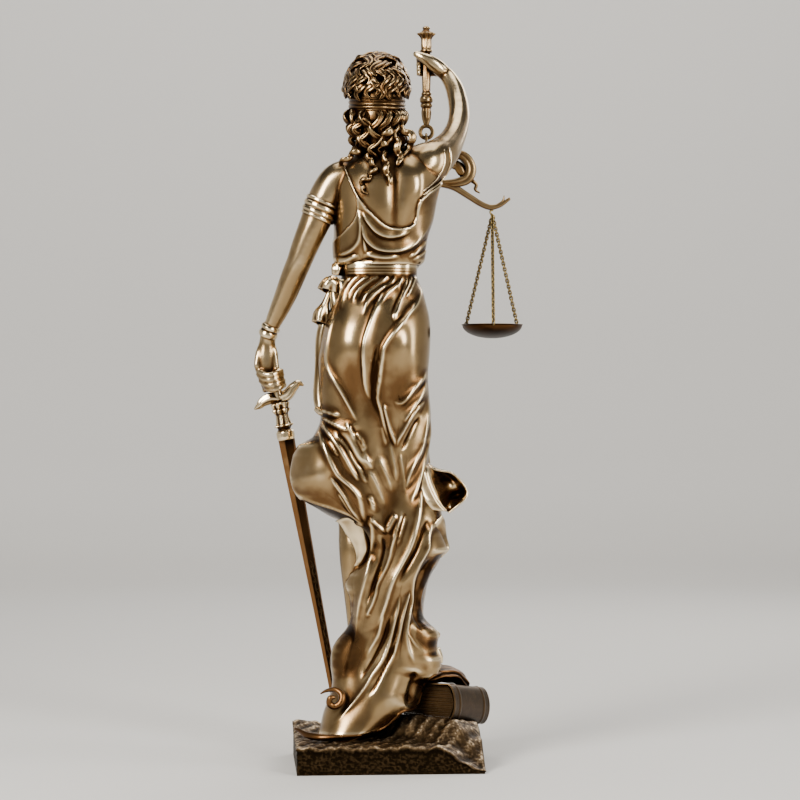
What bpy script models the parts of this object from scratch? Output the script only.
"""Lady justice statue: a blindfolded woman with a sword and a hanging balance,
    on a rock with a book."""

import math

import bmesh
import bpy
import numpy as np

MM = 0.001

# Height of the whole statue. The pose is laid out for the height that follows it, and its
# places and its carving are shares of the height; the sizes named below are not.
HEIGHT = 760.0
POSE_HEIGHT = 760.0
SHARE = HEIGHT / POSE_HEIGHT
POSE_GROUND = 27.0

# The pose is laid out in millimetres as it is seen from behind, from one far viewpoint.
VIEW_X = -8.3
VIEW_Z = 367.3
VIEW_DISTANCE = 2400.0

# The figure stands turned a little on its rock, which lies square in the part's own frame.
TURN = math.radians(-4.0)
SHIFT = 5.25

BASE_WIDTH = 187.0
BASE_DEPTH = 150.0
BASE_LEVEL = 27.0
BOOK_LENGTH = 80.0
BOOK_WIDTH = 60.0
BOOK_THICK = 38.0
BALANCE_Y = -95.0
STAFF_X = -34.9
STAFF_TOP = 745.3
STAFF_FOOT = 641.5
PAN_RADIUS = 31.5
PAN_DEEP = 14.0
PAN_WALL = 1.8
GRIP_RADIUS = 4.6
GAP = 0.4

# Fineness of the casting: size of its grain, and points round and up the big lofts.
GRAIN = 2.0
AROUND = 200
UP = 330


def seen(x, z, y):
    """Place of a point that lies at depth y and is seen at x, z in the plane y = 0."""
    share = 1.0 - y / VIEW_DISTANCE
    return np.array([VIEW_X + (x - VIEW_X) * share, y, VIEW_Z + (z - VIEW_Z) * share])


def square(points):
    """Points of the pose, moved into the part's own frame."""
    points = np.asarray(points, float)
    c, s = math.cos(TURN), math.sin(TURN)
    x = (points[..., 0] - SHIFT) * SHARE
    y = points[..., 1] * SHARE
    z = points[..., 2] * SHARE + (BASE_LEVEL - POSE_GROUND * SHARE)
    return np.stack([x * c - y * s, x * s + y * c, z], -1)


def unsquare(points):
    """Points of the part's own frame, moved back into the frame of the pose."""
    c, s = math.cos(-TURN), math.sin(-TURN)
    x, y = points[..., 0], points[..., 1]
    z = (points[..., 2] - (BASE_LEVEL - POSE_GROUND * SHARE)) / SHARE
    return np.stack([(x * c - y * s) / SHARE + SHIFT, (x * s + y * c) / SHARE, z], -1)


def own(size):
    """A size that the statue's height leaves alone, in the lengths of the pose."""
    return size / SHARE


def curve(points, count):
    """Smooth curve through points of any dimension, evenly cut."""
    p = np.asarray(points, float)
    if len(p) == 2:
        return p[0] + (p[1] - p[0]) * np.linspace(0, 1, count)[:, None]
    step = np.maximum(np.sqrt(np.linalg.norm(np.diff(p, axis=0), axis=1)), 1e-6)
    t = np.concatenate([[0], np.cumsum(step)])
    slope = np.gradient(p, t, axis=0)
    at = np.linspace(0, t[-1], count)
    i = np.clip(np.searchsorted(t, at, side="right") - 1, 0, len(p) - 2)
    h = (t[i + 1] - t[i])[:, None]
    u = ((at - t[i])[:, None]) / h
    return (
        p[i] * (2 * u**3 - 3 * u**2 + 1)
        + slope[i] * h * (u**3 - 2 * u**2 + u)
        + p[i + 1] * (3 * u**2 - 2 * u**3)
        + slope[i + 1] * h * (u**3 - u**2)
    )


def levels(rows, z):
    """Rows of (z, values...) from the top down, eased at the heights z."""
    rows = np.asarray(rows, float)[::-1]
    x = rows[:, 0]
    y = rows[:, 1:]
    d = np.diff(y, axis=0) / np.diff(x)[:, None]
    m = np.zeros_like(y)
    same = d[:-1] * d[1:] > 0
    mean = 2 * d[:-1] * d[1:] / np.where(same, d[:-1] + d[1:], 1)
    m[1:-1] = np.where(same, mean, 0)
    m[0] = d[0]
    m[-1] = d[-1]
    i = np.clip(np.searchsorted(x, z, side="right") - 1, 0, len(x) - 2)
    h = (x[i + 1] - x[i])[:, None]
    u = np.clip((z - x[i])[:, None] / h, 0, 1)
    return (
        y[i] * (2 * u**3 - 3 * u**2 + 1)
        + m[i] * h * (u**3 - 2 * u**2 + u)
        + y[i + 1] * (3 * u**2 - 2 * u**3)
        + m[i + 1] * h * (u**3 - u**2)
    )


def ease(value, low, high):
    u = np.clip((value - low) / (high - low), 0, 1)
    return u * u * (3 - 2 * u)


def skin(rings):
    """Closed shape over rings of points, with a point in the middle of each end."""
    rings = np.asarray(rings, float)
    m, n = rings.shape[:2]
    points = np.concatenate([rings.reshape(-1, 3), [rings[0].mean(0), rings[-1].mean(0)]])
    faces = []
    for i in range(m - 1):
        for j in range(n):
            k = (j + 1) % n
            faces.append((i * n + j, i * n + k, (i + 1) * n + k, (i + 1) * n + j))
    for j in range(n):
        k = (j + 1) % n
        faces.append((m * n, k, j))
        faces.append((m * n + 1, (m - 1) * n + j, (m - 1) * n + k))
    return points, faces


def frames(path, across):
    """Side and depth directions along a path; across is the direction that depth keeps near."""
    along = np.gradient(path, axis=0)
    along /= np.linalg.norm(along, axis=1)[:, None]
    side = np.cross(np.asarray(across, float), along)
    side /= np.maximum(np.linalg.norm(side, axis=1), 1e-9)[:, None]
    return side, np.cross(along, side), along


def rounded(size):
    """Shares that close a tube at both ends like a dome."""
    u = np.linspace(0, 1, size)
    return np.sqrt(np.clip(1 - (1 - np.minimum(u, 1 - u) / 0.04).clip(0) ** 2, 0.0025, 1))


def limb(stations, sides=20, rows=40, across=(0, 1, 0), flutes=0, flute=0.0):
    """Tube through stations (seen x, seen z, y, half width, half depth), domed at both ends."""
    places = [seen(s[0], s[1], s[2]) for s in stations]
    data = curve([[*p, *s[3:5]] for p, s in zip(places, stations)], rows)
    side, depth, _ = frames(data[:, :3], across)
    dome = rounded(rows)
    a = np.linspace(0, 2 * math.pi, sides, endpoint=False)
    swell = 1 + flute * np.cos(flutes * a)
    ring = (
        data[:, None, :3]
        + side[:, None] * (data[:, 3] * dome)[:, None, None] * (np.cos(a) * swell)[None, :, None]
        + depth[:, None] * (data[:, 4] * dome)[:, None, None] * (np.sin(a) * swell)[None, :, None]
    )
    return skin(ring)


def tube(points, radii, sides=8, rows=24):
    """Round tube through points in space, with a frame carried along it without twist."""
    data = curve([[*p, r] for p, r in zip(points, radii)], rows)
    path = data[:, :3]
    along = np.gradient(path, axis=0)
    along /= np.linalg.norm(along, axis=1)[:, None]
    side = np.cross(along[0], [0.3, 0.8, 0.5])
    a = np.linspace(0, 2 * math.pi, sides, endpoint=False)
    rings = []
    for p, t, r in zip(path, along, data[:, 3]):
        side = side - t * (side @ t)
        side /= np.linalg.norm(side)
        up = np.cross(t, side)
        rings.append(p + r * (np.cos(a)[:, None] * side + np.sin(a)[:, None] * up))
    return skin(rings)


def bell(stations, wall, deep, sides=40, rows=30, flutes=0, flute=0.0):
    """Hollow lobe of cloth through stations (centre, half axis, other half axis),
        open at its last one."""
    data = curve([np.concatenate(s) for s in stations], rows)
    a = np.linspace(0, 2 * math.pi, sides, endpoint=False)
    grow = np.linspace(0, 1, rows)[:, None] ** 1.5
    swell = 1 + flute * grow * np.cos(flutes * a)[None, :]

    def ring(shrink):
        u = data[:, 3:6]
        v = data[:, 6:9]
        lu = np.linalg.norm(u, axis=1)[:, None]
        lv = np.linalg.norm(v, axis=1)[:, None]
        u = u * np.maximum(1 - shrink / lu, 0.05)
        v = v * np.maximum(1 - shrink / lv, 0.05)
        return (
            data[:, None, :3]
            + u[:, None] * (np.cos(a)[None, :] * swell)[..., None]
            + v[:, None] * (np.sin(a)[None, :] * swell)[..., None]
        )

    outside = ring(0.0)
    inside = ring(wall)[::-1]
    return skin(np.concatenate([outside, inside[: max(2, int(rows * deep))]]))


def nearest(line, q):
    """Distance to a line in the plane, signed with its image-left side positive, and share along it."""
    best = np.full(len(q), np.inf)
    sign = np.ones(len(q))
    share = np.zeros(len(q))
    count = len(line) - 1
    for i in range(count):
        a = line[i]
        ab = line[i + 1] - a
        t = np.clip(((q - a) @ ab) / (ab @ ab), 0, 1)
        d = q - a - t[:, None] * ab
        length = np.hypot(d[:, 0], d[:, 1])
        nearer = length < best
        best = np.where(nearer, length, best)
        turn = ab[0] * (q[:, 1] - a[1]) - ab[1] * (q[:, 0] - a[0])
        sign = np.where(nearer, np.where(turn >= 0, 1.0, -1.0), sign)
        share = np.where(nearer, (i + t) / count, share)
    return best, sign, share


def fold(x, z, height, left, right, points, head=0.15, tail=0.2):
    """Relief of one fold: its height falls off over left and right millimetres."""
    value = np.zeros_like(x)
    line = curve(points, max(12, 5 * len(points)))
    reach = 2.6 * max(left, right)
    near = (
        (x > line[:, 0].min() - reach)
        & (x < line[:, 0].max() + reach)
        & (z > line[:, 1].min() - reach)
        & (z < line[:, 1].max() + reach)
    )
    if not near.any():
        return value
    best, sign, share = nearest(line, np.stack([x[near], z[near]], 1))
    wide = np.where(sign > 0, left, right)
    taper = ease(share, -0.001, head) * ease(1 - share, -0.001, tail)
    value[near] = height * taper * np.exp(-((best / wide) ** 1.5))
    return value


def inside(polygon, q):
    hit = np.zeros(len(q), bool)
    for a, b in zip(polygon, np.roll(polygon, -1, axis=0)):
        cross = (a[1] > q[:, 1]) != (b[1] > q[:, 1])
        rise = b[1] - a[1] if b[1] != a[1] else 1e-9
        hit ^= cross & (q[:, 0] < (b[0] - a[0]) * (q[:, 1] - a[1]) / rise + a[0])
    return hit


def patch(x, z, height, edge, polygon):
    """A raised field with a soft edge."""
    polygon = np.asarray(polygon, float)
    q = np.stack([x, z], 1)
    best, _, _ = nearest(np.concatenate([polygon, polygon[:1]]), q)
    depth = np.where(inside(polygon, q), best, -best)
    return height * ease(depth, -edge, edge)


def swell(x, z, height, cx, cz, wx, wz):
    return height * np.exp(-(((x - cx) / wx) ** 2) - ((z - cz) / wz) ** 2)


# Skirt and torso: height, left and right outline, back and front.
COLUMN = (
    (616, 34, -26, 22, -18),
    (606, 50, -44, 31, -29),
    (596, 58, -50, 36, -35),
    (580, 60, -46, 40, -40),
    (565, 59, -43, 40, -43),
    (550, 58, -40, 37, -43),
    (535, 58, -35, 33, -41),
    (520, 58, -32, 31, -38),
    (509, 57, -31, 30, -36),
    (503, 52, -26, 28, -34),
    (493, 51, -25.5, 28, -34),
    (480, 55, -30, 33, -36),
    (465, 60, -34.5, 40, -38),
    (450, 65, -38, 46, -39),
    (435, 69, -39, 50, -40),
    (420, 72, -38.5, 51, -42),
    (405, 74, -37.5, 50, -43),
    (390, 74, -36.5, 47, -45),
    (370, 74, -38, 44, -47),
    (350, 71, -39, 42, -49),
    (330, 66, -38.5, 41, -51),
    (310, 62, -36.5, 40, -52),
    (290, 56, -32, 39, -53),
    (272, 48, -31, 38, -52),
    (256, 42, -40, 37, -50),
    (248, 38, -49, 37, -49),
    (240, 29, -50, 36, -48),
    (230, 22, -52, 36, -46),
    (222, 20, -55, 35, -45),
    (216, 20.5, -57, 35, -44),
    (209, 24, -50, 35, -43),
    (200, 35, -46, 34, -42),
    (190, 43.5, -40, 34, -41),
    (180, 46, -36, 33, -40),
    (170, 43, -34.5, 33, -39),
    (160, 41, -32.5, 32, -38),
    (150, 41, -32, 32, -38),
    (142, 43, -37, 32, -38),
    (135, 47, -45, 32, -38),
    (130, 51, -48, 32, -38),
    (122, 57, -46.5, 32, -38),
    (113, 61, -46, 33, -38),
    (106, 62, -50, 33, -38),
    (98, 62, -50, 34, -38),
    (90, 61, -47, 34, -38),
    (84, 60.5, -35, 34, -38),
    (76, 61, -30.5, 34, -38),
    (66, 64, -28, 34, -37),
    (58, 67, -25, 34, -37),
    (53, 69, -16, 34, -36),
    (47, 70.5, -7, 33, -36),
    (40, 72, 2, 32, -35),
    (33, 74, 12, 31, -34),
    (24, 76, 22, 30, -33),
)

BLOUSE = (
    (48, 606), (40, 588), (33, 574), (25, 562), (18, 555), (12, 549), (6, 544.5), (0, 542),
    (-10, 541.5), (-17, 543), (-22, 547), (-24, 553), (-24.5, 561), (-27, 570), (-33, 576),
    (-40, 581), (-47, 587), (-60, 602), (-85, 602), (-85, 504), (85, 504), (85, 515), (61, 527),
    (54, 532), (49, 537), (44, 542), (39, 547.5), (36, 554), (34.4, 562), (35.5, 574), (42.5, 589),
    (50, 606),
)

# Folds seen from behind: height, fall-off on the left and right, line from its top down.
BACK_FOLDS = (
    (1.6, 2.0, 1.2, ((48, 604), (40, 588), (33, 574), (25, 562), (18, 555), (11, 548), (4, 543.4),
        (-4, 541.6), (-12, 541.6), (-18, 543.6), (-22, 547))),
    (1.6, 1.2, 2.0, ((-57, 600), (-48, 587), (-40, 581), (-33, 576), (-27.5, 570), (-25, 561),
        (-24, 551))),
    (2.4, 1.4, 3.0, ((31, 562), (27, 553), (22, 545), (16, 538), (8, 533.5), (0, 532.5), (-8, 534),
        (-16, 537.5), (-22, 543))),
    (3.4, 1.6, 3.4, ((30, 564), (29, 550), (28.5, 540), (26, 531), (21, 524.5), (14, 520), (4, 518),
        (-6, 518.5), (-15, 521.5), (-23, 527.5), (-31, 538), (-37, 549), (-41, 562))),
    (2.2, 2.0, 3.4, ((26, 520), (23, 514.5), (14, 512), (4, 511.5), (-4, 513), (-12, 517))),
    (1.8, 1.4, 2.0, ((-33, 531), (-29, 524), (-21, 515), (-14, 511))),
    (1.8, 1.4, 2.0, ((-34, 521), (-27, 514), (-18, 508.5))),
    (2.6, 1.6, 3.0, ((34.5, 562), (31.5, 552), (31, 537), (33, 527.5), (37.5, 521), (44, 516.5),
        (52, 514), (59, 511.5))),
    (2.2, 2.4, 2.4, ((58, 510), (50, 508.5), (42, 510), (36, 513), (30, 517))),
    (2.0, 1.6, 1.8, ((29.5, 558), (29, 545), (27.5, 530), (26, 518), (25, 512))),
    (-2.6, 3.0, 3.0, ((44, 504), (34, 506), (25, 509), (14, 508))),
    (1.3, 1.3, 1.3, ((50, 502), (20, 502), (-28, 502))),
    (1.3, 1.3, 1.3, ((50, 498.8), (20, 498.8), (-28, 498.8))),
    (1.3, 1.3, 1.3, ((50, 495.6), (20, 495.6), (-28, 495.6))),
    (2.2, 1.8, 1.8, ((36, 492), (41, 482), (44, 472), (45.5, 465))),
    (2.6, 2.0, 2.0, ((25, 493), (31, 484), (35, 476), (37, 470), (39, 459))),
    (2.2, 1.8, 1.8, ((11, 493), (19, 485), (27, 478), (31, 470))),
    (2.8, 2.6, 2.6, ((2, 491), (9, 486), (16, 478), (22, 472), (27, 464))),
    (3.4, 2.6, 7.0, ((-8, 489), (-4, 483), (5, 477), (12, 470.5), (16, 463), (19, 454), (23, 444),
        (26.5, 436), (28.6, 425), (29.2, 410), (29, 395), (28, 385), (25.5, 376), (22, 369.5),
        (18.5, 366))),
    (2.6, 3.0, 1.6, ((15, 420), (14, 405), (13.5, 390), (14, 380), (15.5, 371), (18.5, 366))),
    (1.6, 1.4, 1.4, ((23, 424), (24.5, 408), (25, 396), (24.5, 384))),
    (2.0, 1.8, 1.8, ((-6, 478), (-3, 474), (2, 471), (4.5, 467), (5.5, 458))),
    (2.2, 1.6, 1.6, ((-16, 492), (-18, 485), (-18, 476))),
    (2.2, 1.6, 1.6, ((-22, 491), (-22.5, 484), (-21, 476))),
    (2.4, 1.8, 1.8, ((-17, 480), (-12, 472), (-8, 465), (-5, 456), (-2, 449), (-1.5, 442))),
    (2.0, 1.8, 1.8, ((-31, 480), (-27, 469), (-22, 458))),
    (3.6, 2.4, 3.4, ((-23, 464), (-16, 457), (-9, 449), (-2, 439.5), (3, 431.5), (7, 422),
        (9.5, 411), (10.8, 400), (11, 388), (10.8, 372), (9.5, 360), (7, 347), (4, 333), (1, 321),
        (-2, 309))),
    (2.0, 1.4, 1.4, ((-19, 456), (-12, 447), (-5, 438), (1, 429), (5.5, 418), (7.5, 405), (7.8, 390),
        (7, 375))),
    (3.4, 2.2, 4.0, ((54, 452), (59, 445), (62.5, 433), (65, 420), (65.2, 408), (63, 397), (59, 387),
        (54, 378), (48, 368), (42, 358), (36, 349), (32, 342))),
    (2.0, 1.4, 1.8, ((60, 400), (57, 391), (52.5, 382), (47, 372), (42, 363), (38, 356))),
    (4.0, 4.0, 2.4, ((15, 368), (11.5, 356), (8.5, 346), (5, 335), (2, 325), (-1, 313), (-2.5, 306))),
    (2.2, 1.8, 1.8, ((9, 380), (7.5, 363), (4, 350), (0, 336), (-3, 320))),
    (2.6, 3.0, 1.6, ((-37, 393), (-30, 388), (-24, 381), (-18, 373), (-13, 367), (-4, 364))),
    (2.8, 1.8, 2.4, ((-35, 398), (-34, 388), (-32, 379), (-28, 371), (-22, 362), (-17, 354),
        (-13, 346), (-9, 336))),
    (3.0, 1.8, 2.8, ((-37, 371), (-31, 366), (-25, 358), (-19, 349), (-14, 340), (-10, 330),
        (-6, 320), (-3, 310))),
    (4.4, 3.4, 2.4, ((-38, 398), (-37.5, 375), (-36.5, 355), (-35, 338), (-32, 322), (-28, 311),
        (-23, 301), (-18, 290), (-14, 277))),
    (3.4, 2.4, 2.4, ((-38.5, 372), (-38.5, 350), (-37, 328), (-34, 310), (-30, 296), (-26, 283),
        (-24, 270), (-25, 255), (-24, 240), (-19, 226), (-13, 210), (-8, 196), (-3, 182), (1, 168))),
    (3.0, 2.0, 2.6, ((74, 351), (64, 345.5), (56, 342), (47, 338.5), (40, 331))),
    (4.0, 2.6, 2.6, ((52, 354), (45, 344), (40, 336), (34, 324), (29, 312), (24, 302), (18, 294))),
    (2.0, 1.4, 1.4, ((40, 343), (33, 333), (29, 322), (25, 311), (21, 300))),
    (3.6, 2.4, 2.4, ((70, 349), (64, 341), (58, 330), (50, 319), (44, 309), (39, 299), (35.5, 290),
        (32, 279))),
    (2.4, 1.6, 1.6, ((50, 334), (43, 322), (38, 313), (33, 301), (28, 290), (24, 283))),
    (4.4, 3.4, 2.4, ((72, 342), (67, 328), (63, 315), (59, 302), (52, 291.5), (44, 283), (37, 273),
        (32.5, 264), (30, 254), (28.5, 245), (26, 237), (22, 229), (20, 220))),
    (2.4, 1.8, 1.8, ((60, 298), (53, 288), (47, 279), (42, 269), (38, 258))),
    (2.2, 1.8, 1.8, ((24, 274), (21, 264), (17, 253))),
    (2.6, 1.8, 2.4, ((23, 251), (17, 245), (11, 238), (6, 232))),
    (2.6, 2.4, 1.6, ((-5, 255), (-1, 246), (3, 238), (6, 232))),
    (4.0, 1.6, 4.6, ((-18, 264), (-13, 252), (-9, 243), (-5, 233), (-1, 222), (1, 213), (0, 207))),
    (2.6, 3.2, 1.4, ((0, 211), (5, 201), (8.5, 191), (12, 181), (16, 171), (19, 160), (24, 148),
        (28, 138))),
    (4.2, 3.4, 3.0, ((19, 220), (21, 206), (25, 192), (28, 178), (31, 165), (33.5, 150), (35, 138),
        (37, 126))),
    (3.4, 2.8, 2.8, ((3, 184), (5, 168), (8, 154), (11, 140), (14, 124))),
    (3.2, 2.0, 2.6, ((-9, 190), (-9, 172), (-6, 155), (-2, 140), (2, 128), (6, 115), (12, 101),
        (20, 88), (28, 77), (36, 66), (46, 53), (57, 45))),
    (3.6, 2.4, 3.0, ((-22, 196), (-17, 170), (-12, 154), (-7, 136), (-3, 120), (2, 106), (9, 92),
        (15, 78), (21, 66), (28, 59))),
    (3.6, 2.6, 3.0, ((-16, 150), (-16, 130), (-18, 115), (-22, 104), (-27, 97), (-32, 92))),
    (2.8, 1.4, 2.2, ((-20, 154), (-22, 138), (-24, 125), (-28, 116), (-34, 112), (-46, 111))),
    (2.4, 1.6, 1.6, ((15, 168), (16, 150), (18, 138), (20, 126))),
    (2.6, 2.6, 2.6, ((-30, 262), (-34, 246), (-38, 232), (-40, 222), (-37, 206), (-31, 190),
        (-24, 176))),
)

# Folds seen from the front, plainer: the same numbers.
FRONT_FOLDS = (
    (2.4, 1.8, 3.0, ((42, 606), (36, 590), (26, 577), (12, 569))),
    (2.4, 3.0, 1.8, ((-28, 606), (-20, 590), (-8, 577), (8, 569))),
    (1.8, 1.8, 1.8, ((52, 596), (44, 580), (34, 556), (24, 530), (18, 506))),
    (1.8, 1.8, 1.8, ((-40, 592), (-30, 578), (-18, 554), (-6, 530), (4, 506))),
    (1.6, 1.6, 1.6, ((40, 600), (34, 570), (26, 545), (14, 520))),
    (1.6, 1.6, 1.6, ((-30, 600), (-22, 570), (-12, 545), (8, 520))),
    (1.3, 1.3, 1.3, ((60, 502), (20, 502), (-34, 502))),
    (1.3, 1.3, 1.3, ((60, 498.8), (20, 498.8), (-34, 498.8))),
    (1.3, 1.3, 1.3, ((60, 495.6), (20, 495.6), (-34, 495.6))),
    (3.2, 2.6, 4.0, ((46, 488), (40, 440), (26, 390), (8, 345), (-8, 305), (-16, 275))),
    (3.0, 2.6, 4.0, ((32, 488), (26, 450), (12, 405), (-4, 360), (-18, 315), (-24, 285))),
    (2.6, 2.4, 3.0, ((18, 488), (12, 455), (0, 415), (-14, 375), (-28, 335))),
    (3.4, 3.0, 3.0, ((56, 470), (58, 420), (52, 360), (44, 310), (34, 262), (24, 220))),
    (3.2, 3.0, 3.0, ((-16, 262), (-18, 220), (-14, 180), (-8, 130), (-4, 80))),
    (3.2, 3.0, 3.0, ((-4, 262), (-2, 210), (6, 160), (12, 110), (18, 60))),
    (3.2, 3.0, 3.0, ((10, 268), (14, 215), (22, 165), (32, 110), (44, 60))),
    (2.8, 3.0, 3.0, ((-28, 262), (-34, 220), (-30, 180), (-26, 140), (-34, 105))),
)


def column():
    """The dress and the bare back: an upright loft, carved with the folds."""
    z = np.linspace(COLUMN[0][0], COLUMN[-1][0], UP)
    left, right, back, front = levels(COLUMN, z).T
    a = np.linspace(0, 2 * math.pi, AROUND, endpoint=False)
    c, s = np.cos(a), np.sin(a)
    bent = np.sign(c) * np.abs(c) ** 0.86
    deep = np.sign(s) * np.abs(s) ** 0.92
    middle = (left + right) / 2
    half = (left - right) / 2
    waist = (back + front) / 2
    reach = (back - front) / 2
    x = middle[:, None] + half[:, None] * bent
    y = waist[:, None] + reach[:, None] * deep
    grid = np.stack([x, y, np.broadcast_to(z[:, None], x.shape)], -1)
    flat = grid.reshape(-1, 3)
    share = 1.0 - flat[:, 1] / VIEW_DISTANCE
    sx = VIEW_X + (flat[:, 0] - VIEW_X) / share
    sz = VIEW_Z + (flat[:, 2] - VIEW_Z) / share
    round_way = np.roll(grid, -1, axis=1) - np.roll(grid, 1, axis=1)
    up_way = np.gradient(grid, axis=0)
    normal = np.cross(up_way, round_way)
    normal /= np.maximum(np.linalg.norm(normal, axis=2), 1e-9)[..., None]
    facing = normal[..., 1].reshape(-1)
    rear = ease(facing, -0.25, 0.25)
    relief = carve(sx, sz, BACK_FOLDS) * rear + carve(sx, sz, FRONT_FOLDS) * (1 - rear)
    relief += rear * (
        patch(sx, sz, 2.4, 1.0, BLOUSE)
        + swell(sx, sz, 3.5, 44, 426, 20, 24)
        + swell(sx, sz, 3.5, -14, 424, 18, 24)
        - swell(sx, sz, 2.6, 18, 410, 12, 40)
        - swell(sx, sz, 2.4, -3, 572, 7, 34)
        + swell(sx, sz, 2.2, 26, 590, 14, 16)
        + swell(sx, sz, 2.6, -27, 588, 10, 20)
    )
    relief += (1 - rear) * (
        2.2 * ease(sz, 503, 506)
        + swell(sx, sz, 11, 27, 566, 13, 13)
        + swell(sx, sz, 11, -9, 566, 13, 13)
    )
    moved = grid + normal * relief.reshape(x.shape)[..., None]
    return skin(moved)


def carve(x, z, folds):
    high = np.zeros_like(x)
    low = np.zeros_like(x)
    for height, left, right, points in folds:
        value = fold(x, z, height, left, right, points)
        high = np.maximum(high, value)
        low = np.minimum(low, value)
    return high + low


# Head: height, half width, back and front.
HEAD = (
    (713, 5, 8, -14),
    (709, 14, 17, -24),
    (702, 20, 23, -30),
    (694, 24, 26, -34),
    (684, 26, 28, -37),
    (674, 26.5, 28, -37.5),
    (666, 26.3, 27, -36),
    (658, 25, 24, -36.5),
    (651, 23.5, 18, -36.5),
    (645, 22, 10, -37),
    (638, 19.5, 2, -36.5),
    (631, 15, -6, -35),
    (626, 9, -14, -31),
    (623, 4, -19, -27),
)
HEAD_X = 15.0


def head():
    z = np.linspace(HEAD[0][0], HEAD[-1][0], 60)
    half, back, front = levels(HEAD, z).T
    a = np.linspace(0, 2 * math.pi, 56, endpoint=False)
    x = half[:, None] * np.cos(a)
    y = ((back + front) / 2)[:, None] + ((back - front) / 2)[:, None] * np.sin(a)
    zz = np.broadcast_to(z[:, None], x.shape)
    fx = x.reshape(-1)
    fz = zz.reshape(-1)
    face = ease(-np.sin(np.broadcast_to(a, x.shape)), 0.1, 0.7).reshape(-1)
    relief = (
        swell(fx, fz, 6.5, 0, 653, 3.4, 5)
        + swell(fx, fz, 3.6, 0, 661, 3.0, 7)
        + swell(fx, fz, 2.2, 0, 645.8, 6.5, 1.5)
        + swell(fx, fz, 2.4, 0, 642.2, 5.5, 1.6)
        + swell(fx, fz, 2.6, 0, 633, 8, 5)
        + swell(fx, fz, 1.6, 12, 654, 6, 7)
        + swell(fx, fz, 1.6, -12, 654, 6, 7)
        - swell(fx, fz, 1.5, 0, 638.5, 6, 1.8)
    )
    y = y - (relief * face).reshape(x.shape)
    share = 1.0 - y / VIEW_DISTANCE
    ring = np.stack(
        [VIEW_X + (x + HEAD_X - VIEW_X) * share, y, VIEW_Z + (zz - VIEW_Z) * share], -1
    )
    return skin(ring)


def blindfold(sides=48):
    """A folded band round the eyes and the back of the head."""
    rows = ((674.5, 26.5), (673.5, 28.6), (671, 29.4), (669, 28.7), (667, 29.3), (665, 28.6),
        (662.5, 29.2), (660.5, 28.0), (659.5, 26))
    a = np.linspace(0, 2 * math.pi, sides, endpoint=False)
    rings = []
    for z, r in rows:
        x = (r - 0.4) * np.cos(a)
        y = -5 + (r + 5.2) * np.sin(a)
        rings.append([seen(HEAD_X + u, z + 0.03 * u, v) for u, v in zip(x, y)])
    return skin(rings)


def on_scalp(across, tilt, lift):
    """Point of the hair's round mass: across goes round from the back,
        tilt goes down from the crown."""
    x = HEAD_X + (28.5 + lift) * math.sin(across) * math.sin(tilt)
    y = -4 + (32 + lift) * math.cos(across) * math.sin(tilt)
    z = 683 + (31 + lift) * math.cos(tilt)
    return seen(x, z, y)


def short_locks(sides=6, rows=9):
    """Short comma-shaped locks that swirl from the crown down to the blindfold."""
    shapes = []
    for ring, (tilt, count) in enumerate(((0.25, 5), (0.62, 9), (0.98, 13), (1.3, 15), (1.58, 16))):
        for i in range(count):
            turn = 2 * math.pi * (i + 0.5 * (ring % 2)) / count
            wave = math.sin(7.3 * i + 2.1 * ring)
            if math.cos(turn) < -0.55 and tilt > 1.2:
                continue
            way = 0.30 + 0.12 * wave
            points = []
            for k in range(5):
                u = k / 4
                points.append(
                    on_scalp(
                        turn + way * (u**1.6) * 1.5 - 0.18,
                        tilt - 0.22 + 0.5 * u,
                        -1.0 + 3.0 * math.sin(math.pi * min(1.0, u * 1.1)),
                    )
                )
            shapes.append(tube(points, (2.4, 3.9, 4.0, 2.9, 0.9), sides, rows))
    return shapes


def ringlet(points, radius, coil, turns, sides=6, rows=36):
    """A lock wound round a line seen from behind."""
    line = curve([seen(*p) for p in points], rows)
    side, depth, _ = frames(line, (0, 1, 0))
    t = np.linspace(0, 1, rows)
    grow = np.sin(math.pi * np.clip(0.12 + 0.88 * t, 0, 1)) ** 0.5
    path = (
        line
        + side * (coil * grow * np.cos(2 * math.pi * turns * t))[:, None]
        + depth * (coil * grow * np.sin(2 * math.pi * turns * t))[:, None]
    )
    radii = radius * (0.35 + 0.65 * grow)
    return tube(path, radii, sides, rows)


RINGLETS = (
    (((36, 650, 20), (36, 638, 21), (32, 624, 20), (38, 616, 21), (47, 611, 20),
        (54, 602, 16)), 2.6, 2.6, 4.0),
    (((34, 648, 24), (27, 650, 28), (22, 645, 28), (25, 640, 26), (27, 634, 24)), 3.2, 0.8, 1.0),
    (((6, 652, 26), (3, 642, 29), (6, 633, 29), (10, 626, 28), (15, 620, 27)), 3.4, 2.4, 3.0),
    (((24, 618, 24), (22, 610, 31), (17, 603, 35), (20, 595, 38), (29, 588, 40), (30, 581, 41),
        (25, 575, 42)), 2.5, 2.2, 5.0),
    (((8, 620, 26), (6, 606, 36), (4, 596, 40), (0, 585, 42)), 2.6, 1.6, 2.5),
    (((-8, 650, 18), (-12, 640, 22), (-19, 634, 20), (-20, 627, 18), (-14, 619, 20),
        (-10, 611, 26)), 3.2, 2.0, 2.5),
    (((-6, 644, 24), (-4, 634, 27), (-6, 624, 27), (-8, 614, 29), (-6, 604, 34)), 3.0, 2.0, 2.5),
    (((40, 660, 14), (38, 650, 18), (33, 640, 20), (34, 632, 20)), 3.4, 1.6, 1.5),
)


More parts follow.
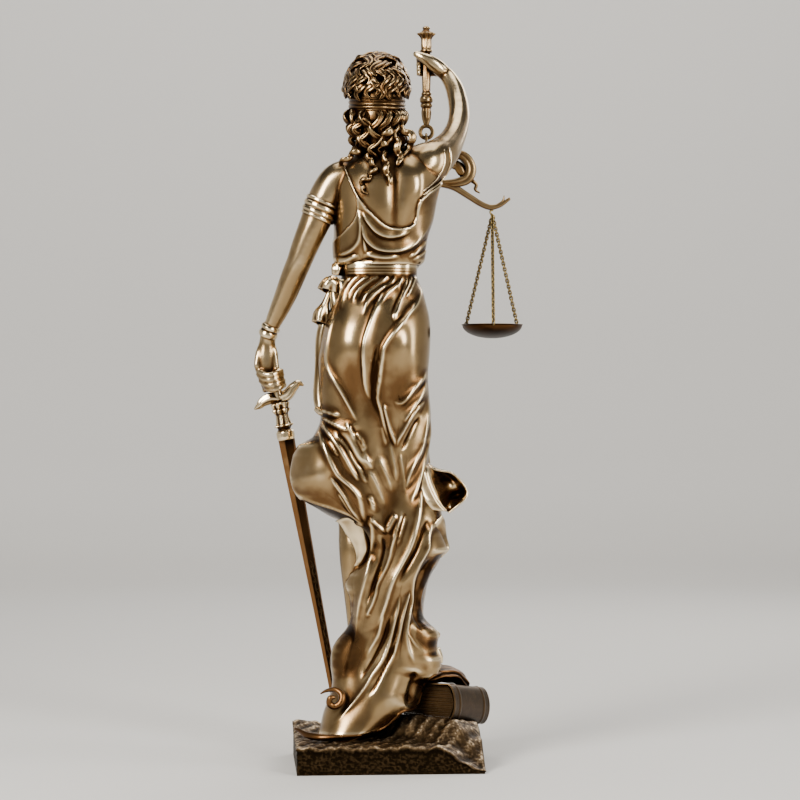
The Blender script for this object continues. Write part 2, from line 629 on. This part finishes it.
def hair():
    """Round mass of hair, short locks over it, a knot under the band and the hanging ringlets."""
    shapes = [
        limb(((HEAD_X, 714, -2, 10, 12), (HEAD_X, 700, -2, 25, 27), (HEAD_X, 684, -2, 29.5, 30),
            (HEAD_X, 672, 0, 28, 27), (HEAD_X, 662, 2, 22, 24))),
        limb(((14, 664, 6, 22, 18), (14, 654, 9, 25, 20), (13, 644, 10, 22, 18),
            (12, 634, 10, 15, 13), (12, 628, 9, 8, 7))),
    ]
    shapes += short_locks()
    for i in range(9):
        turn = -1.7 + 3.4 * i / 8
        x = HEAD_X + 26 * math.sin(turn)
        y = 6 + 20 * math.cos(turn)
        bend = 5 * math.sin(2.2 * i)
        shapes.append(
            tube(
                [seen(x, 660, y - 2), seen(x + bend, 652, y + 2), seen(x - 2, 644, y),
                    seen(HEAD_X + 0.6 * (x - HEAD_X), 637, y - 3)],
                (2.5, 4.0, 3.6, 1.6), 6, 10,
            )
        )
    for points, radius, coil, turns in RINGLETS:
        shapes.append(ringlet(points, radius, coil, turns))
    return shapes


def ring_round(centre, axis, radius, thick, sides=24, across=6):
    """A plain torus."""
    axis = np.asarray(axis, float) / np.linalg.norm(axis)
    u = np.cross(axis, [0.21, 0.93, 0.31])
    u /= np.linalg.norm(u)
    v = np.cross(axis, u)
    points = []
    faces = []
    for i in range(sides):
        a = 2 * math.pi * i / sides
        out = math.cos(a) * u + math.sin(a) * v
        for j in range(across):
            b = 2 * math.pi * j / across
            points.append(centre + out * (radius + thick * math.cos(b)) + axis * thick * math.sin(b))
            k = (i + 1) % sides
            m = (j + 1) % across
            faces.append((i * across + j, k * across + j, k * across + m, i * across + m))
    return np.array(points), faces


LEFT_ARM = (
    (38, 592, 2, 20, 21), (54, 588, 2, 19, 20), (66, 573, 3, 17.5, 18.5), (71.6, 560.3, 2, 16.6, 17),
    (80, 541, 1, 15, 15.5), (88, 522, -1, 13.8, 14), (93.8, 506.7, -3, 12.8, 12.8),
        (99.5, 493, -7, 12.4, 12),
    (107, 474, -14, 11.4, 10.5), (115, 456, -21, 9.8, 8.8), (121, 443, -26, 8.2, 7.4),
        (125, 433, -29, 7.8, 7),
)
LEFT_PALM = (
    (124, 438, -27, 7.8, 7), (126, 424, -30, 8.6, 7), (126.5, 410, -30, 10.6, 7.4),
        (125, 396, -31, 11, 7.6), (121, 383, -33, 9, 7),
)
RIGHT_ARM = (
    (-26, 598, 0, 22, 24), (-38, 607, -2, 21, 22), (-50, 616, -16, 17.5, 18), (-60, 629, -36, 13.5, 14),
    (-66, 643, -55, 11.6, 12), (-68, 656, -68, 10.9, 11.5), (-66.5, 670, -79, 10.3, 10.6),
        (-62.5, 684, -87, 9.3, 9.4),
    (-56, 695, -93, 8, 8), (-49, 702, -96, 7, 7),
)
RIGHT_PALM = ((-52, 699, -95, 7.5, 7), (-44, 705, -94, 9, 7), (-35, 711, -91, 8, 6),
    (-27, 715.5, -91, 5, 5), (-21.5, 718, -93, 2.4, 3))
LEFT_LEG = (
    (38, 350, -4, 24, 24), (40, 300, -12, 20.5, 21), (39, 262, -16, 17.5, 18),
        (37.5, 240, -13, 16.5, 17),
    (37.5, 222, -9, 16.3, 17), (37, 200, -8, 15.2, 16), (36, 175, -7, 13, 14), (35, 150, -6, 11, 12),
    (34.5, 120, -5, 9, 9.6), (34.5, 92, -3, 8, 8.6), (35, 66, -1, 8.6, 9.6), (36, 46, 2, 10, 12),
)
RIGHT_THIGH = ((-2, 420, -4, 34, 30), (-6, 370, -20, 31, 30), (-12, 320, -40, 26, 27),
    (-16, 280, -52, 21, 22), (-17, 262, -54, 17, 18))
RIGHT_DRAPE = ((-14, 285, -50, 16, 18), (-14, 250, -52, 21, 19), (-12, 200, -46, 22, 19),
    (-10, 150, -38, 21, 18), (-14, 100, -30, 21, 18), (-18, 80, -28, 18, 14))

SWORD_HIGH = seen(121.5, 405, -38)
SWORD_GUARD = seen(113.0, 362, -38)
SWORD_TIP = seen(51.5, 38.0, -44)
STAFF_LOW = seen(STAFF_X, STAFF_FOOT, BALANCE_Y)
STAFF_HIGH = seen(STAFF_X, STAFF_TOP, BALANCE_Y)


def fist(shapes, centre, axis, heights, wide, deep, thick, start, sweep):
    """Fingers wrapped round a grip: arcs about its axis, one over the other."""
    axis = np.asarray(axis, float) / np.linalg.norm(axis)
    u = np.array([1.0, 0.0, 0.0])
    u -= axis * (u @ axis)
    u /= np.linalg.norm(u)
    v = np.cross(axis, u)
    for i, height in enumerate(heights):
        points = []
        for k in range(9):
            a = start + sweep * k / 8
            points.append(centre + axis * height + wide * math.cos(a) * u + deep * math.sin(a) * v)
        size = thick * (1.0 - 0.06 * i)
        shapes.append(tube(points, [size * 0.9, size, size, size, size * 1.04, size, size, size * 0.9,
            size * 0.7], 8, 20))


def figure_shapes():
    shapes = [column(), head(), blindfold()]
    shapes += hair()
    shapes.append(limb(((12, 592, 4, 20, 18), (13, 612, 6, 16.5, 15.5), (14, 634, 4, 15.5, 15),
        (15, 652, -2, 16, 16))))
    shapes.append(limb(((44, 598, 4, 12, 14), (28, 606, 6, 12, 12), (14, 618, 6, 12, 11),
        (0, 614, 5, 13, 13), (-22, 608, 3, 17, 17), (-38, 610, -2, 19, 19)), across=(0, 1, 0)))
    for arm in (LEFT_ARM, RIGHT_ARM):
        shapes.append(limb(arm))
    shapes.append(limb(LEFT_PALM))
    shapes.append(limb(RIGHT_PALM))
    shapes.append(limb(LEFT_LEG))
    shapes.append(limb(RIGHT_THIGH))
    shapes.append(limb(RIGHT_DRAPE, sides=48, flutes=9, flute=0.09))
    arm_way = seen(80, 541, 1) - seen(66, 573, 3)
    for i in range(3):
        share = 0.27 + 0.22 * i
        at = seen(66, 573, 3) + arm_way * share
        shapes.append(ring_round(at, arm_way, 16.6 - 0.4 * i, 2.4))
    wrist_way = seen(125, 433, -29) - seen(121, 443, -26)
    for i in range(2):
        shapes.append(ring_round(seen(121.8, 441.5, -26.6) + wrist_way * (0.05 + 0.62 * i), wrist_way,
            7.6, 2.2))
    grip_way = (SWORD_HIGH - SWORD_GUARD) / np.linalg.norm(SWORD_HIGH - SWORD_GUARD)
    fist(shapes, SWORD_GUARD + [4.5, 0, 0], grip_way, (34, 27.8, 21.8, 16.2), 10.6, 8.6, 3.7, -0.6, 4.6)
    shapes.append(tube([seen(118, 400, -40), seen(110, 396, -38), seen(107, 388, -34), seen(109, 380,
        -32)], (5, 4.4, 4.0, 3.0), 8, 14))
    staff_way = STAFF_HIGH - STAFF_LOW
    staff_way = staff_way / np.linalg.norm(staff_way)
    fist(shapes, seen(STAFF_X, 655, BALANCE_Y), staff_way, (62, 56, 50.4, 45), 8.8, 7.8, 3.4,
        math.pi - 0.3, -4.4)
    shapes.append(tube([seen(-46, 700, -100), seen(-42, 706, -106), seen(-34, 712, -107), seen(-27,
        714, -103)], (4.6, 4.6, 4.2, 3.2), 8, 14))
    shapes += cloth_ends()
    shapes += feet()
    shapes += ribbon()
    return shapes


def cloth_ends():
    """The blown lobes of the skirt and the train's corner."""
    left = bell(
        (
            (seen(66, 356, 4), (5, 0, 3), (0, 10, 0)),
            (seen(68, 335, 6), (10, 0, 2), (0, 18, 1)),
            (seen(71, 312, 6), (26, 0, 2), (0, 28, 3)),
            (seen(71, 290, 6), (28.5, 0, 5), (0, 32, 4)),
            (seen(69, 270, 6), (26.5, 0, 8), (0, 32, 5)),
            (seen(67.5, 258, 6), (23.5, 0, 9), (0, 30, 5.5)),
        ),
        3.4, 0.55, flutes=7, flute=0.04,
    )
    right = bell(
        (
            (seen(-16, 284, 0), (0, 0, 19), (2, 24, 0)),
            (seen(-31, 282, -2), (0, 0, 19.5), (6, 23, 0)),
            (seen(-45, 278, -4), (1, 0, 20), (12, 21, 0)),
            (seen(-58, 272.5, -6), (3, 0, 21), (17, 19, 0)),
        ),
        3.2, 0.6, flutes=5, flute=0.04,
    )
    corner = limb(((60, 44, 12, 9, 16), (76, 38, 10, 7.5, 14), (88, 34.5, 6, 5.5, 10),
        (99, 35, 2, 2.6, 4)))
    roll = tube(
        [seen(54, 60, 26), seen(56, 70, 30), seen(63, 74, 28), seen(69, 70, 24), seen(66, 60, 22),
            seen(60, 57, 24)],
        (2.0, 3.2, 3.4, 3.0, 2.6, 1.6), 8, 20,
    )
    tip = limb(((-34, 132, 0, 7, 8), (-42, 131, -3, 5.5, 7), (-48, 129.5, -5, 2.6, 4)))
    knob = limb(((-44, 116, -2, 5, 7), (-48, 107, -3, 4, 5), (-49.5, 101, -3, 2, 3)))
    under = limb(((42, 252, 14, 9, 6), (35, 237, 15, 9.5, 5), (30, 223, 17, 7.5, 5),
        (28, 211, 19, 5, 4)))
    return [left, right, corner, roll, tip, knob, under]


def feet():
    """Sandalled feet: the left on the rock, the right on the book."""
    left = limb(
        ((36, 43, 16, 8.5, 9), (37, 47, 2, 9.5, 13), (40, 43, -22, 11, 11), (43, 37, -46, 12.5, 7.5),
            (46, 34.5, -66, 9, 5)),
        across=(0, 0, 1),
    )
    right = limb(
        ((-28, 92, -14, 8.5, 9), (-33, 96, -26, 9.5, 12), (-44, 93, -46, 10.5, 10),
            (-56, 88, -66, 11.5, 7), (-63, 84.5, -80, 8, 4.6)),
        across=(0, 0, 1),
    )
    shin = limb(((-24, 120, -24, 10, 10), (-29, 98, -19, 8.4, 9)))
    return [left, right, shin]


def ribbon():
    """Knot of the belt on the left hip, its bow and hanging ends."""
    knot = limb(((57, 505, 6, 4, 5), (55, 500, 8, 6.5, 7), (56, 493, 8, 5, 6)))
    bow = limb(((46, 480, 14, 3, 4), (54, 486, 15, 6.5, 6), (62, 489, 12, 6, 7), (70, 484, 8, 6, 6),
        (74, 479, 6, 3, 4)))
    end = limb(((56, 488, 12, 4, 3), (58, 474, 14, 6, 3), (56, 462, 13, 7, 3), (54, 457, 12, 3, 2.6)))
    strip = limb(((64, 482, 8, 3, 3), (68, 470, 8, 5, 3), (71, 460, 8, 5, 3)))
    rose = limb(((76, 461, 6, 4, 5), (71, 455, 8, 9, 8), (70, 447, 8, 9, 8),
        (74, 441, 6, 5, 5)), sides=24, flutes=5, flute=0.1)
    tail = limb(((68, 446, 4, 5, 4), (71, 430, 3, 5.4, 4), (72, 400, 2, 5.4, 4),
        (73, 372, 2, 6, 4.5), (72, 357, 3, 5, 6)))
    gather = limb(((77, 359, 3, 3, 4), (70, 355, 6, 4.5, 8), (60, 353, 14, 3.5, 8)))
    return [knot, bow, end, strip, rose, tail, gather]


def body(name, shapes, colour, metallic, roughness):
    """One object of the shapes, in metres and in the part's own frame."""
    points = []
    faces = []
    start = 0
    for p, f in shapes:
        points.append(square(p) * MM)
        faces += [tuple(start + i for i in face) for face in f]
        start += len(p)
    mesh = bpy.data.meshes.new(name)
    mesh.from_pydata(np.concatenate(points).tolist(), [], faces)
    mesh.update()
    item = bpy.data.objects.new(name, mesh)
    bpy.context.scene.collection.objects.link(item)
    finish = bpy.data.materials.new(name)
    finish.use_nodes = True
    shader = finish.node_tree.nodes["Principled BSDF"]
    shader.inputs["Base Color"].default_value = (*colour, 1.0)
    shader.inputs["Metallic"].default_value = metallic
    shader.inputs["Roughness"].default_value = roughness
    mesh.materials.append(finish)
    return item


def outward(item):
    """Turns the faces of each closed shell outward."""
    work = bmesh.new()
    work.from_mesh(item.data)
    bmesh.ops.recalc_face_normals(work, faces=work.faces)
    work.to_mesh(item.data)
    work.free()


def join_with(item, other, way):
    other.hide_render = True
    other.display_type = "WIRE"
    step = item.modifiers.new(way.title(), "BOOLEAN")
    step.operation = way
    step.solver = "EXACT"
    step.object = other


BRONZE = (0.20, 0.115, 0.055)
DARK = (0.10, 0.065, 0.04)
BRASS = (0.55, 0.36, 0.12)


def make_figure(book_cutter, rock_cutter):
    item = body("figure", figure_shapes(), BRONZE, 0.9, 0.3)
    outward(item)
    melt = item.modifiers.new("Cast", "REMESH")
    melt.mode = "VOXEL"
    melt.voxel_size = GRAIN * MM
    even = item.modifiers.new("Even", "SMOOTH")
    even.factor = 0.4
    even.iterations = 1
    thin = item.modifiers.new("Thin", "DECIMATE")
    thin.ratio = 0.0215
    for cutter in (book_cutter, rock_cutter):
        join_with(item, cutter, "DIFFERENCE")
    for i, room in enumerate(sword_shapes(own(GAP)) + staff_shapes(own(GAP))):
        bore = body(f"held_room_{i}", [room], BRONZE, 0.9, 0.3)
        outward(bore)
        join_with(item, bore, "DIFFERENCE")
    return item


BOOK_CORNER = seen(-60.0, 42.0, 20.0)
BOOK_SPINE = np.array([-math.sin(math.radians(28)), -math.cos(math.radians(28)), -0.15])
BOOK_ACROSS = np.array([math.cos(math.radians(28)), -math.sin(math.radians(28)), 0.0])


def book(grow=0.0):
    """Closed book: its section, flat at the pages and round at the spine, run along the spine."""
    long, wide, thick = own(BOOK_LENGTH), own(BOOK_WIDTH), own(BOOK_THICK) + 2 * grow
    section = [(wide + grow, -grow), (wide + grow, thick - grow)]
    for i in range(11):
        a = math.pi / 2 + math.pi * i / 10
        section.append((4 - grow + 7 * math.cos(a), thick / 2 - grow + thick / 2 * math.sin(a)))
    rings = []
    for share in (-grow / long, 1 + grow / long):
        at = BOOK_CORNER + BOOK_SPINE * long * share
        rings.append([at + BOOK_ACROSS * u + np.array([0, 0, w]) for u, w in section])
    return skin(rings)


def ground(x, y):
    """Height of the rock at a place of the part's own frame."""
    away = unsquare(np.stack([x, y, np.zeros_like(x)], -1))[..., :2] - BOOK_CORNER[:2]
    u = away @ BOOK_ACROSS[:2] * SHARE
    w = away @ BOOK_SPINE[:2] * SHARE
    off = np.hypot(np.maximum(0, np.maximum(-u, u - BOOK_WIDTH)), np.maximum(0, np.maximum(-w,
        w - BOOK_LENGTH)))
    level = 20 - 12 * np.clip(w / BOOK_LENGTH, 0, 1)
    mound = level * (1 - ease(off, 2, 34))
    corner = 23 * (1 - ease(np.hypot((x + BASE_WIDTH / 2) / 1.1, y - BASE_DEPTH / 2), 4, 44))
    front = 8 * (1 - ease(np.hypot(x - BASE_WIDTH / 2, y + BASE_DEPTH / 2), 10, 50))
    rough = 1.1 * np.sin(0.19 * x + 1.3) * np.sin(0.23 * y + 0.4) + 0.7 * np.sin(0.41 * x - 0.33 * y)
    return BASE_LEVEL + mound - corner + front + rough


def rock(lift=0.0, spread=0.0, across=18, along=15):
    """The chiselled block: a flat underside, rough sides and the ground on top."""
    wide = BASE_WIDTH / 2
    deep = BASE_DEPTH / 2
    xs = np.linspace(-wide, wide, across)
    ys = np.linspace(-deep, deep, along)
    if spread:
        xs = np.concatenate([[-wide - spread], xs, [wide + spread]])
        ys = np.concatenate([[-deep - spread], ys, [deep + spread]])
        across += 2
        along += 2
    x, y = np.meshgrid(xs, ys, indexing="ij")
    height = ground(np.clip(x, -wide, wide), np.clip(y, -deep, deep))
    top = np.stack([x, y, height + lift], -1)
    bottom = np.stack([x, y, np.full_like(x, -lift)], -1)
    points = np.concatenate([top.reshape(-1, 3), bottom.reshape(-1, 3)])
    n = across * along
    faces = []
    for i in range(across - 1):
        for j in range(along - 1):
            a = i * along + j
            faces.append((a, a + along, a + along + 1))
            faces.append((a, a + along + 1, a + 1))
    border = [i * along for i in range(across)]
    border += [(across - 1) * along + j for j in range(1, along)]
    border += [i * along + along - 1 for i in range(across - 2, -1, -1)]
    border += [j for j in range(along - 2, 0, -1)]
    for a, b in zip(border, border[1:] + border[:1]):
        faces.append((a, n + a, n + b, b))
    faces.append(tuple(n + a for a in border))
    used = sorted({i for face in faces for i in face})
    place = {old: new for new, old in enumerate(used)}
    return points[used], [tuple(place[i] for i in face) for face in faces]


def placed(shape):
    points, faces = shape
    return unsquare(points), faces


def make_base():
    item = body("base", [placed(rock())], DARK, 0.6, 0.5)
    outward(item)
    volume = body("book", [book()], DARK, 0.6, 0.5)
    outward(volume)
    join_with(item, volume, "UNION")
    return item


def spindle(low, high, profile, sides=14):
    """Turned shape along a line: profile holds (share along, radius)."""
    axis = (high - low) / np.linalg.norm(high - low)
    u = np.cross(axis, [0, 1, 0])
    u /= np.linalg.norm(u)
    v = np.cross(axis, u)
    a = np.linspace(0, 2 * math.pi, sides, endpoint=False)
    rings = []
    for share, radius in profile:
        at = low + (high - low) * share
        rings.append(at + radius * (np.cos(a)[:, None] * u + np.sin(a)[:, None] * v))
    return skin(rings)


def fused(name, shapes, colour, metallic, roughness):
    """One body of shapes that overlap."""
    item = body(name, shapes[:1], colour, metallic, roughness)
    outward(item)
    for i, shape in enumerate(shapes[1:]):
        other = body(f"{name}_{i}", [shape], colour, metallic, roughness)
        outward(other)
        join_with(item, other, "UNION")
    return item


def sword_shapes(grow=0.0):
    """Blade with a raised middle panel, curved guard, tiers, grip and pommel."""
    axis = SWORD_GUARD - SWORD_TIP
    long = np.linalg.norm(axis)
    axis = axis / long
    side = np.cross([0, 1, 0], axis)
    side /= np.linalg.norm(side)
    flat = np.cross(axis, side)
    rings = []
    for away, half, thick in ((0, 0.4, 0.4), (14, 4.4, 1.6), (120, 5.2, 2.3), (220, 7.0, 2.8),
        (long - 60, 8.1, 3.0), (long - 31.2, 8.5, 3.1)):
        at = SWORD_TIP + axis * (away - 2 * grow * (away == 0))
        half += 1.6 * grow
        thick += 1.4 * grow
        rings.append([at + side * half * a + flat * thick * b for a, b in ((1, 0), (0.55, 1),
            (-0.55, 1), (-1, 0), (-0.55, -1), (0.55, -1))])
    blade = skin(rings)
    low = SWORD_GUARD - axis * 36
    high = SWORD_GUARD + axis * 58
    profile = ((0, 8.6), (0.04, 9.6), (0.10, 9.4), (0.13, 6.4), (0.15, 8.8), (0.24, 7.2),
        (0.295, 6.6), (0.31, 8.0), (0.36, 9.8), (0.41, 9.2), (0.43, own(GRIP_RADIUS)),
        (0.86, own(GRIP_RADIUS)), (0.88, 6.4), (0.93, 8.0), (0.97, 6.8), (1.0, 2.0))
    hilt = spindle(low - axis * grow, high + axis * grow, [(t, r + grow) for t, r in profile])
    guard = tube(
        [seen(138, 359, -38), seen(131, 365, -38), seen(122, 368.5, -38), seen(113, 369, -38),
            seen(105, 374, -38), seen(98, 383, -38), seen(91, 382.5, -38)],
        [r + 1.2 * grow for r in (2.2, 3.2, 4.0, 4.4, 3.8, 3.0, 1.8)], 6, 14,
    )
    return [hilt, blade, guard]


def staff_shapes(grow=0.0):
    profile = ((0.04, 3.4), (0.10, 4.6), (0.20, 5.4), (0.235, 6.4), (0.32, 6.6), (0.345, 4.4),
        (0.36, 4.2), (0.72, 4.2), (0.74, 6.4), (0.78, 6.6), (0.80, 5.4), (0.88, 6.2), (0.90, 8.6),
        (0.94, 8.8), (0.955, 3.4), (0.97, 3.2), (0.99, 2.4), (1.0, 0.6))
    handle = spindle(STAFF_LOW, STAFF_HIGH, [(t, r + grow) for t, r in profile], 12)
    eye = ring_round(seen(STAFF_X, STAFF_FOOT - 3.5, BALANCE_Y), (0, 1, 0), 6.4, 2.2 + grow, 16, 6)
    return [handle, eye]


def beam_shapes():
    """Beam seen from behind on its right half, mirrored on the staff for the left one."""
    middle = seen(STAFF_X, 620, BALANCE_Y)
    right = [seen(x, z, BALANCE_Y) for x, z in ((STAFF_X, 588), (-48, 586), (-62, 582.5), (-78, 573),
        (-90, 565.5), (-99.5, 562), (-109, 564), (-119.5, 571))]
    curl = [seen(x, z, BALANCE_Y) for x, z in ((-40, 589), (-52, 586.5), (-66, 587), (-76, 591),
        (-79.5, 600), (-76, 610), (-68, 615), (-62, 610), (-63.5, 603), (-69, 603))]
    stem = [seen(STAFF_X, z, BALANCE_Y) for z in (STAFF_FOOT - 15.5, 612, 598, 586)]

    def mirrored(points):
        return [np.array([2 * middle[0] - p[0], p[1], p[2]]) for p in points]

    bar = mirrored(right)[::-1] + right[1:]
    wide = [1.4, 2.2, 2.8, 3.2, 3.4, 3.6, 3.8, 4.2, 3.8, 3.6, 3.4, 3.2, 2.8, 2.2, 1.4]
    leaf = (2.0, 3.0, 3.6, 3.8, 3.8, 3.6, 3.4, 3.0, 2.8, 2.2)
    return [
        tube(bar, wide, 6, 28),
        tube(curl, leaf, 6, 16),
        tube(mirrored(curl), leaf, 6, 16),
        tube(stem, (2.6, 3.4, 4.6, 4.2), 8, 8),
        ring_round(seen(STAFF_X, STAFF_FOOT - 11.1, BALANCE_Y), (1, 0, 0), 5.6, 1.5, 14, 5),
    ]


def pan_centre(side):
    tip = seen(-101.5, 562, BALANCE_Y)
    x = tip[0] if side == "right" else 2 * seen(STAFF_X, 0, BALANCE_Y)[0] - tip[0]
    return np.array([x, BALANCE_Y, 0.0])


PAN_RIM = seen(0, 443.0, BALANCE_Y)[2]
HOOK_TOP = seen(0, 559.0, BALANCE_Y)[2]


def pan_shape(side, around=24):
    """A round bowl of even wall, turned about its own axis."""
    centre = pan_centre(side)
    radius, deep, wall = own(PAN_RADIUS), own(PAN_DEEP), own(PAN_WALL)
    outer = []
    inner = []
    for i in range(5):
        a = math.pi / 2 * i / 4
        outer.append((radius * math.sin(a), -deep * math.cos(a)))
        inner.append(((radius - wall) * math.sin(a), -(deep - wall) * math.cos(a)))
    profile = outer[1:] + inner[::-1][:-1]
    profile[3] = (radius + 0.8, 0.6)
    profile[4] = (radius - wall, 0.6)
    a = np.linspace(0, 2 * math.pi, around, endpoint=False)
    rings = []
    for r, z in profile:
        rings.append(np.stack([centre[0] + r * np.cos(a), centre[1] + r * np.sin(a), np.full(around,
            PAN_RIM + z)], -1))
    return skin(rings)


def chain_shapes(side, links=8):
    centre = pan_centre(side)
    top = np.array([centre[0], centre[1], HOOK_TOP - 12])
    shapes = []
    for k in range(3):
        a = math.radians(90 + 120 * k)
        reach = own(PAN_RADIUS) - 0.6
        low = np.array([centre[0] + reach * math.cos(a), centre[1] + reach * math.sin(a), PAN_RIM + 1.0])
        count = 2 * links
        rings = []
        axis = (low - top) / np.linalg.norm(low - top)
        u = np.cross(axis, [math.sin(a), -math.cos(a), 0.2])
        u /= np.linalg.norm(u)
        v = np.cross(axis, u)
        start = top + np.array([0.7 * math.cos(a), 0.7 * math.sin(a), 0.31 * k - 1.0])
        for i in range(count + 1):
            at = start + (low - start) * i / count
            p, q = (1.5, 0.7) if i % 2 else (0.7, 1.5)
            rings.append([at + u * p, at + v * q, at - u * p, at - v * q])
        shapes.append(skin(rings))
    hook = tube(
        [np.array([centre[0] + x, centre[1], HOOK_TOP + z]) for x, z in ((0, -14), (0, -8),
            (2.6, -5), (2.8, -1.5), (0.5, 0.6 - 1.4))],
        (2.4, 1.9, 1.3, 1.2, 0.9), 6, 9,
    )
    return [hook, *shapes]


def main():
    for item in list(bpy.data.objects):
        bpy.data.objects.remove(item, do_unlink=True)
    book_cutter = body("book_room", [book(own(GAP))], DARK, 0.6, 0.5)
    rock_cutter = body("rock_room", [placed(rock(GAP, 20.0))], DARK, 0.6, 0.5)
    outward(book_cutter)
    outward(rock_cutter)
    make_figure(book_cutter, rock_cutter)
    make_base()
    fused("sword", sword_shapes(), BRONZE, 0.9, 0.35)
    fused("balance_staff", staff_shapes(), BRONZE, 0.9, 0.3)
    fused("balance_beam", beam_shapes(), BRONZE, 0.9, 0.3)
    for side in ("right", "left"):
        outward(body(f"{side}_pan", [pan_shape(side)], BRONZE, 0.9, 0.3))
        fused(f"{side}_chains", chain_shapes(side), BRASS, 0.9, 0.35)


main()
